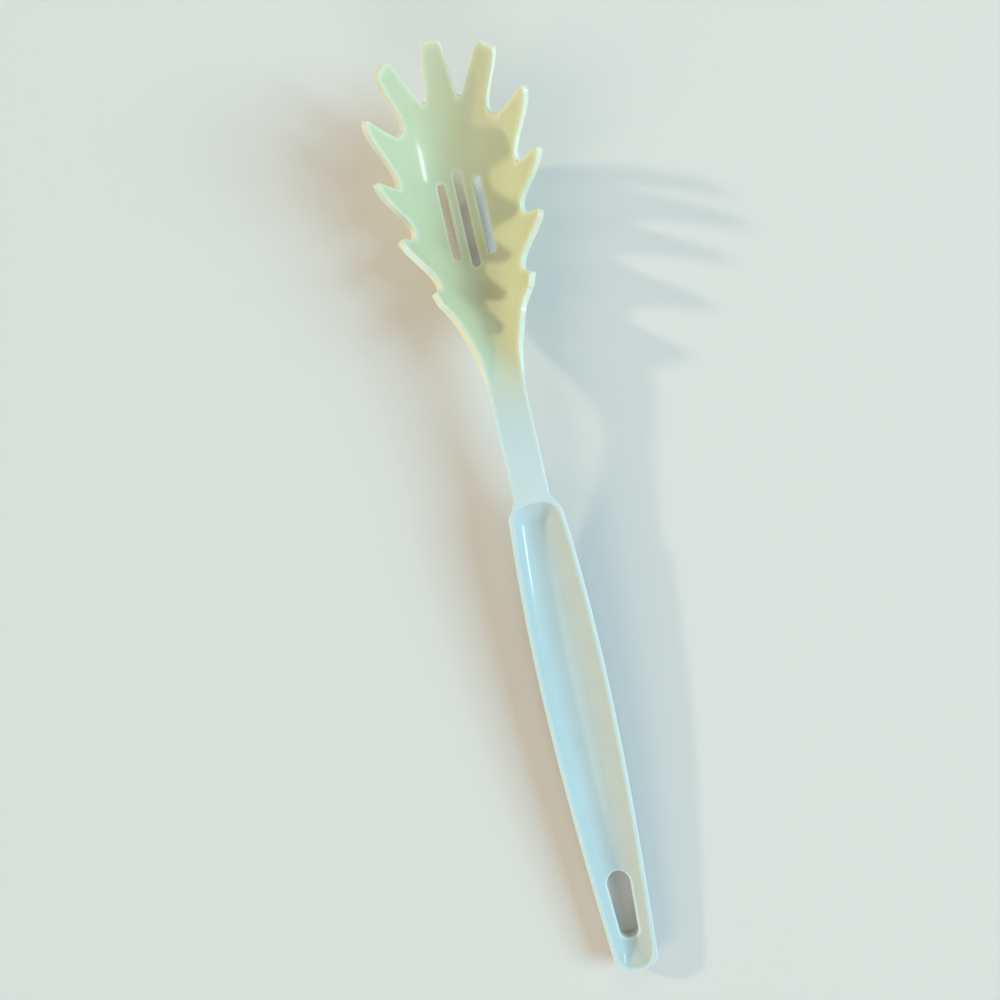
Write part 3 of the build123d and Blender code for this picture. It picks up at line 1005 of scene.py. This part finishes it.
def shell_skin(form, rim, stretches, slots=()):
    """A closed piece of the head's shell over stretches of its rim and the cuts that join them in turn."""
    s, skin = form.size, Skin()
    points, normals = rim
    # Painted highlight round each moulded edge: partly on the face, most on the side, none below
    edge = rim_highlight()[:, None]
    rows = [skin.add(points[:, stretch], normals[:, stretch], edge) for stretch in stretches]
    tops, lows, plans = [], [], []
    for number, row in enumerate(rows):
        skin.grid(row)
        after = (number + 1) % len(rows)
        start, stop = points[0, stretches[number][-1], :2], points[0, stretches[after][0], :2]
        # The bowl's last cut lies on the neck's end
        count = max(LEAST_POINTS, int(np.linalg.norm(stop - start) / CUT_SPACING) + 1)
        if after == 0 and len(rows) > 1:
            count = FRONT_POINTS
        cut = between(start, stop, count)
        surface, up = form.place(cut)
        top, low = skin.add(surface, up), skin.add(surface - up * s.wall, -up)
        skin.wall(row[:, -1], rows[after][:, 0], top, low)
        tops += [row[0], top]
        lows += [row[-1], low]
        # A slight bow keeps the cut's points off one straight line, on which triangles would have no area
        bow = np.sin(between(0, pi, count))[:, None] * CUT_BOW
        outwards = unit((stop - start)[::-1] * (1, -1))
        plans += [points[0, stretches[number], :2], cut + outwards * bow]
    loops, top_rims, low_rims = [np.concatenate(plans)], [np.concatenate(tops)], [np.concatenate(lows)]
    sides = np.concatenate(plans[::2])
    for slot in slots:
        ring, ring_normals = form.rim(slot, closed=True)
        ring_rows = skin.add(ring, ring_normals, edge)
        skin.grid(ring_rows, closed=True)
        loops.append(ring[0, :, :2])
        top_rims.append(ring_rows[0])
        low_rims.append(ring_rows[-1])
    lattice, triangles = triangulated(loops, SHELL_SPACING)
    surface, up = form.place(lattice)
    # The painted highlight falls evenly to none over its width beside the outline and the slots
    off_edge = clearance(lattice, sides) / s.wear_width
    for ring in loops[1:]:
        off_edge = np.minimum(off_edge, clearance(lattice, ring) / s.slot_wear_width)
    skin.fill(top_rims, skin.add(surface, up, RIM_HIGHLIGHT * np.clip(1 - off_edge, 0, 1)), triangles)
    skin.fill(low_rims, skin.add(surface - up * s.wall, -up), triangles, faces_down=True)
    return skin


def bowl_back(form, rim):
    """Closed loop of points and normals of the bowl's wall at the neck, from its right back edge upwards."""
    points, normals = rim
    top, up = form.place(between(points[0, 0, :2], points[0, -1, :2], FRONT_POINTS))
    low = top[::-1] - up[::-1] * form.size.wall
    return (
        np.concatenate([points[::-1, 0], top, points[:, -1], low]),
        np.concatenate([normals[::-1, 0], up, normals[:, -1], -up[::-1]]),
    )


def neck_skin(front, back, rim):
    """The neck, swept from the handle's front loop to the bowl's back loop, its painted highlight at first as
    strong as on the handle's rim.

    Points and normals go evenly from the front's to the back's, and each normal loses its part along
    the neck.
    """
    skin = Skin()
    t = np.linspace(0, 1, NECK_STATIONS)[:, None, None]
    points = front[0] * (1 - t) + back[0] * t
    forward = unit(back[0] - front[0])
    normals = front[1] * (1 - t) + back[1] * t
    normals = unit(normals - forward * (normals * forward).sum(axis=2, keepdims=True))
    column, across = UPPER_ROWS + BACK_ROWS, FRONT_POINTS - 2
    none, flat = np.zeros(across), np.full(across, rim)
    # The painted highlight runs from the handle's rim and edges to the bowl's edges along the neck
    handle_highlight, bowl_highlight = corner_highlight(rim), rim_highlight()
    first = np.concatenate([handle_highlight[::-1], flat, handle_highlight, none])
    last = np.concatenate([bowl_highlight[::-1], none, bowl_highlight, none])
    rows = skin.add(points, normals, first * (1 - t[:, 0]) + last * t[:, 0])
    skin.grid(rows, closed=True)
    right, top, left, low = np.split(rows[0], np.cumsum([column, across, column]))
    skin.wall(left, right[::-1], top[::-1], low)
    right, top, left, low = np.split(rows[-1], np.cumsum([column, across, column]))
    skin.wall(right[::-1], left, top, low[::-1])
    return skin


def forms():
    """The handle's and the head's forms from the settings, with the head's outline and its rim."""
    settings = bpy.context.scene.pasta_server
    neck = measured(settings.neck)
    handle = HandleForm(measured(settings.handle), neck)
    head = HeadForm(measured(settings.head), neck, handle)
    outline = head.outline()
    return handle, head, outline, head.rim(outline)


# Plastic


def node(tree, kind, sockets=(), **settings):
    """Adds a shader node with its settings, and gives its sockets their numbers or links."""
    made = tree.nodes.new(f"ShaderNode{kind}")
    for name, value in settings.items():
        setattr(made, name, value)
    for socket, value in dict(sockets).items():
        if isinstance(value, bpy.types.NodeSocket):
            tree.links.new(value, made.inputs[socket])
        else:
            made.inputs[socket].default_value = value
    return made


def plastic():
    """Glossy off-white moulded plastic, creamier in the bowl, with faint clouds, fine waves and hairlines."""
    found = bpy.data.materials.get("moulded_plastic")
    if found:
        return found
    look = bpy.context.scene.pasta_server.finish
    material = bpy.data.materials.new("moulded_plastic")
    material.use_nodes = True
    tree = material.node_tree
    tree.nodes.clear()
    where = node(tree, "TexCoord").outputs["Object"]

    # The face's colour and the colour of the painted highlight on the edges run from the handle's to the
    # bowl's along the server
    split = node(tree, "SeparateXYZ", {"Vector": where})
    change = node(
        tree,
        "MapRange",
        {"Value": split.outputs["Y"], "From Min": look.change_start, "From Max": look.change_end},
        interpolation_type="SMOOTHSTEP",
    )
    runs = []
    faces, edges = (look.handle_colour, look.head_colour), (look.handle_highlight_colour, look.head_highlight_colour)
    for start, end in (faces, edges):
        ends = {"A": (*start, 1), "B": (*end, 1), "Factor": change.outputs["Result"]}
        runs.append(node(tree, "Mix", ends, data_type="RGBA").outputs["Result"])

    # Painted highlight that lightens the edges
    edge = node(tree, "Attribute", attribute_name="edge")
    wear = node(tree, "MapRange", {"Value": edge.outputs["Fac"], "To Max": look.highlight_share})
    highlighted = node(tree, "Mix", {"A": runs[0], "B": runs[1], "Factor": wear.outputs["Result"]}, data_type="RGBA")

    # Faint clouds in the colour, and a gloss that varies with them
    clouds = node(tree, "TexNoise", {"Vector": where, "Scale": 38, "Detail": 3}).outputs["Fac"]
    middle = {"Value": clouds, "From Min": 0.3, "From Max": 0.7}
    tint = node(tree, "MapRange", middle | {"To Min": 0.97, "To Max": 1.03})
    toned = node(
        tree, "VectorMath", {0: highlighted.outputs["Result"], "Scale": tint.outputs["Result"]}, operation="SCALE"
    )
    gloss = {"To Min": look.roughness * 0.85, "To Max": look.roughness * 1.2}
    polish = node(tree, "MapRange", middle | gloss)

    # Fine waves left by the mould, and hairlines along the server
    waves = node(tree, "TexNoise", {"Vector": where, "Scale": 260, "Detail": 2})
    wave_bump = node(tree, "Bump", {"Strength": 0.4, "Distance": 0.00006, "Height": waves.outputs["Fac"]})
    stretch = node(tree, "Mapping", {"Vector": where, "Scale": (2600, 120, 900)})
    hairs = node(tree, "TexNoise", {"Vector": stretch.outputs["Vector"], "Scale": 1, "Detail": 1})
    hair_bump = node(
        tree,
        "Bump",
        {
            "Strength": 0.1,
            "Distance": 0.00001,
            "Height": hairs.outputs["Fac"],
            "Normal": wave_bump.outputs["Normal"],
        },
    )
    shader = node(
        tree,
        "BsdfPrincipled",
        {
            "Base Color": toned.outputs["Vector"],
            "Roughness": polish.outputs["Result"],
            "Normal": hair_bump.outputs["Normal"],
            "IOR": 1.5,
        },
    )
    node(tree, "OutputMaterial", {"Surface": shader.outputs["BSDF"]})
    return material


# Operators


class SERVER_OT_handle(bpy.types.Operator):
    """Builds the handle with its trough and hanging hole"""

    bl_idname = "pasta_server.handle"
    bl_label = "Handle"

    def execute(self, context):
        handle, *_ = forms()
        dress(handle_skin(handle).made("moulded_handle", handle), "handle")
        return {"FINISHED"}


class SERVER_OT_neck(bpy.types.Operator):
    """Builds the neck between the handle and the bowl"""

    bl_idname = "pasta_server.neck"
    bl_label = "Neck"

    def execute(self, context):
        handle, head, _, rim = forms()
        skin = neck_skin(handle_front(handle), bowl_back(head, rim), handle.size.rim_highlight)
        dress(skin.made("moulded_neck"), "neck")
        return {"FINISHED"}


class SERVER_OT_bowl(bpy.types.Operator):
    """Builds the bowl with its drain slots"""

    bl_idname = "pasta_server.bowl"
    bl_label = "Bowl"

    def execute(self, context):
        _, head, outline, rim = forms()
        bowl_runs, _ = head.stretches(outline)
        dress(shell_skin(head, rim, bowl_runs, head.slots()).made("moulded_bowl"), "bowl")
        return {"FINISHED"}


class SERVER_OT_tines(bpy.types.Operator):
    """Builds the eleven tines"""

    bl_idname = "pasta_server.tines"
    bl_label = "Tines"

    def execute(self, context):
        _, head, outline, rim = forms()
        _, tine_runs = head.stretches(outline)
        names = [f"right_tine_{number}" for number in range(TINES, 0, -1)]
        names += ["centre_tine"] + [f"left_tine_{number}" for number in range(1, TINES + 1)]
        for name, run in zip(names, tine_runs, strict=True):
            dress(shell_skin(head, rim, [run]).made(f"moulded_{name}"), name)
        return {"FINISHED"}


class SERVER_OT_stage(bpy.types.Operator):
    """Adds the plain floor, the lamps and the camera"""

    bl_idname = "pasta_server.stage"
    bl_label = "Floor, lamps and camera"

    def execute(self, context):
        stage = context.scene.pasta_server.stage
        self.floor(stage)
        self.room(context.scene, stage)
        for name, direction, spread, tint in FAR_LAMPS:
            far_lamp(f"{name}_lamp", direction, spread, getattr(stage, f"{name}_light"), tint)
        self.strip(stage)
        self.camera(context.scene, stage)
        return {"FINISHED"}

    def floor(self, stage):
        """A round floor: a face inside the first ring, and quads from each ring to the next."""
        turn = np.linspace(0, 2 * pi, FLOOR_TURNS + 1)[:-1]
        rings = raised(np.array(FLOOR_RINGS)[:, None, None] * circle(turn), 0)
        numbers = np.arange(rings[..., 0].size).reshape(rings.shape[:2])
        mesh = bpy.data.meshes.new("floor")
        mesh.from_pydata(rings.reshape(-1, 3).tolist(), [], [numbers[0].tolist(), *quads(numbers, True)])
        material = bpy.data.materials.new("pale_floor")
        material.use_nodes = True
        shader = material.node_tree.nodes["Principled BSDF"]
        shader.inputs["Base Color"].default_value = (*stage.floor_colour, 1)
        shader.inputs["Roughness"].default_value = 0.7
        mesh.materials.append(material)
        added("floor", mesh)

    def room(self, scene, stage):
        """Soft light from all round."""
        world = bpy.data.worlds.new("room")
        world.use_nodes = True
        tree = world.node_tree
        ground = tree.nodes["Background"]
        ground.inputs["Color"].default_value = (*stage.sky_colour, 1)
        # The camera and the gloss see a paler room than the one that lights the server
        rays = node(tree, "LightPath").outputs
        seen = node(tree, "Math", {0: rays["Is Camera Ray"], 1: rays["Is Glossy Ray"]}, operation="MAXIMUM")
        levels = {"Value": seen.outputs["Value"], "To Min": stage.sky_strength, "To Max": stage.backdrop}
        tree.links.new(node(tree, "MapRange", levels).outputs["Result"], ground.inputs["Strength"])
        scene.world = world
        scene.view_settings.view_transform = "Standard"

    def strip(self, stage):
        """A long, narrow lamp on the right, whose reflection runs along the bowl and the trough."""
        data = bpy.data.lights.new("strip_lamp", "AREA")
        data.shape = "RECTANGLE"
        data.size, data.size_y = STRIP_SIZE
        data.energy, data.color = stage.strip_power, STRIP_TINT
        strip = added("strip_lamp", data)
        strip.location = STRIP_PLACE
        strip.rotation_euler = turned_to(STRIP_PLACE)

    def camera(self, scene, stage):
        """A camera that looks straight down, turned as the photograph is."""
        data = bpy.data.cameras.new("camera")
        data.sensor_width = 36
        data.lens = stage.lens / MM
        camera = added("camera", data)
        camera.location = (stage.camera_x, stage.camera_y, stage.camera_height)
        camera.rotation_euler = (0, 0, stage.camera_turn)
        scene.camera = camera


def turned_to(direction):
    """The turn of a lamp that shines from a direction towards the server."""
    return Vector(direction).to_track_quat("Z", "Y").to_euler()


def far_lamp(name, direction, spread, strength, tint):
    """Adds a distant soft lamp, as wide as its spread in degrees, which lights the whole floor evenly."""
    data = bpy.data.lights.new(name, "SUN")
    data.angle, data.energy, data.color = radians(spread), strength, tint
    lamp = added(name, data)
    lamp.rotation_euler = turned_to(direction)
    lamp.visible_glossy = False


class SERVER_PT_panel(bpy.types.Panel):
    """Lists the pasta server's sizes, finish and operators"""

    bl_idname = "SERVER_PT_panel"
    bl_label = "Pasta server"
    bl_space_type = "VIEW_3D"
    bl_region_type = "UI"
    bl_category = "Pasta server"

    def draw(self, context):
        settings = context.scene.pasta_server
        for operator in OPERATORS:
            self.layout.operator(operator.bl_idname)
        for part in type(settings).__annotations__:
            box = self.layout.box()
            box.label(text=part.capitalize())
            group = getattr(settings, part)
            for name in type(group).__annotations__:
                box.prop(group, name)


GROUPS = (HandleSizes, NeckSizes, HeadSizes, Finish, Stage, ServerSettings)
OPERATORS = (SERVER_OT_handle, SERVER_OT_neck, SERVER_OT_bowl, SERVER_OT_tines, SERVER_OT_stage)


def register():
    """Registers the settings, the operators and the panel."""
    for made in (*GROUPS, *OPERATORS, SERVER_PT_panel):
        bpy.utils.register_class(made)
    bpy.types.Scene.pasta_server = bpy.props.PointerProperty(type=ServerSettings)


def unregister():
    """Takes the settings, the operators and the panel away again."""
    del bpy.types.Scene.pasta_server
    for made in reversed((*GROUPS, *OPERATORS, SERVER_PT_panel)):
        bpy.utils.unregister_class(made)


def main():
    """Builds every piece and the stage."""
    register()
    bpy.ops.pasta_server.handle()
    bpy.ops.pasta_server.neck()
    bpy.ops.pasta_server.bowl()
    bpy.ops.pasta_server.tines()
    bpy.ops.pasta_server.stage()


if __name__ == "__main__":
    main()
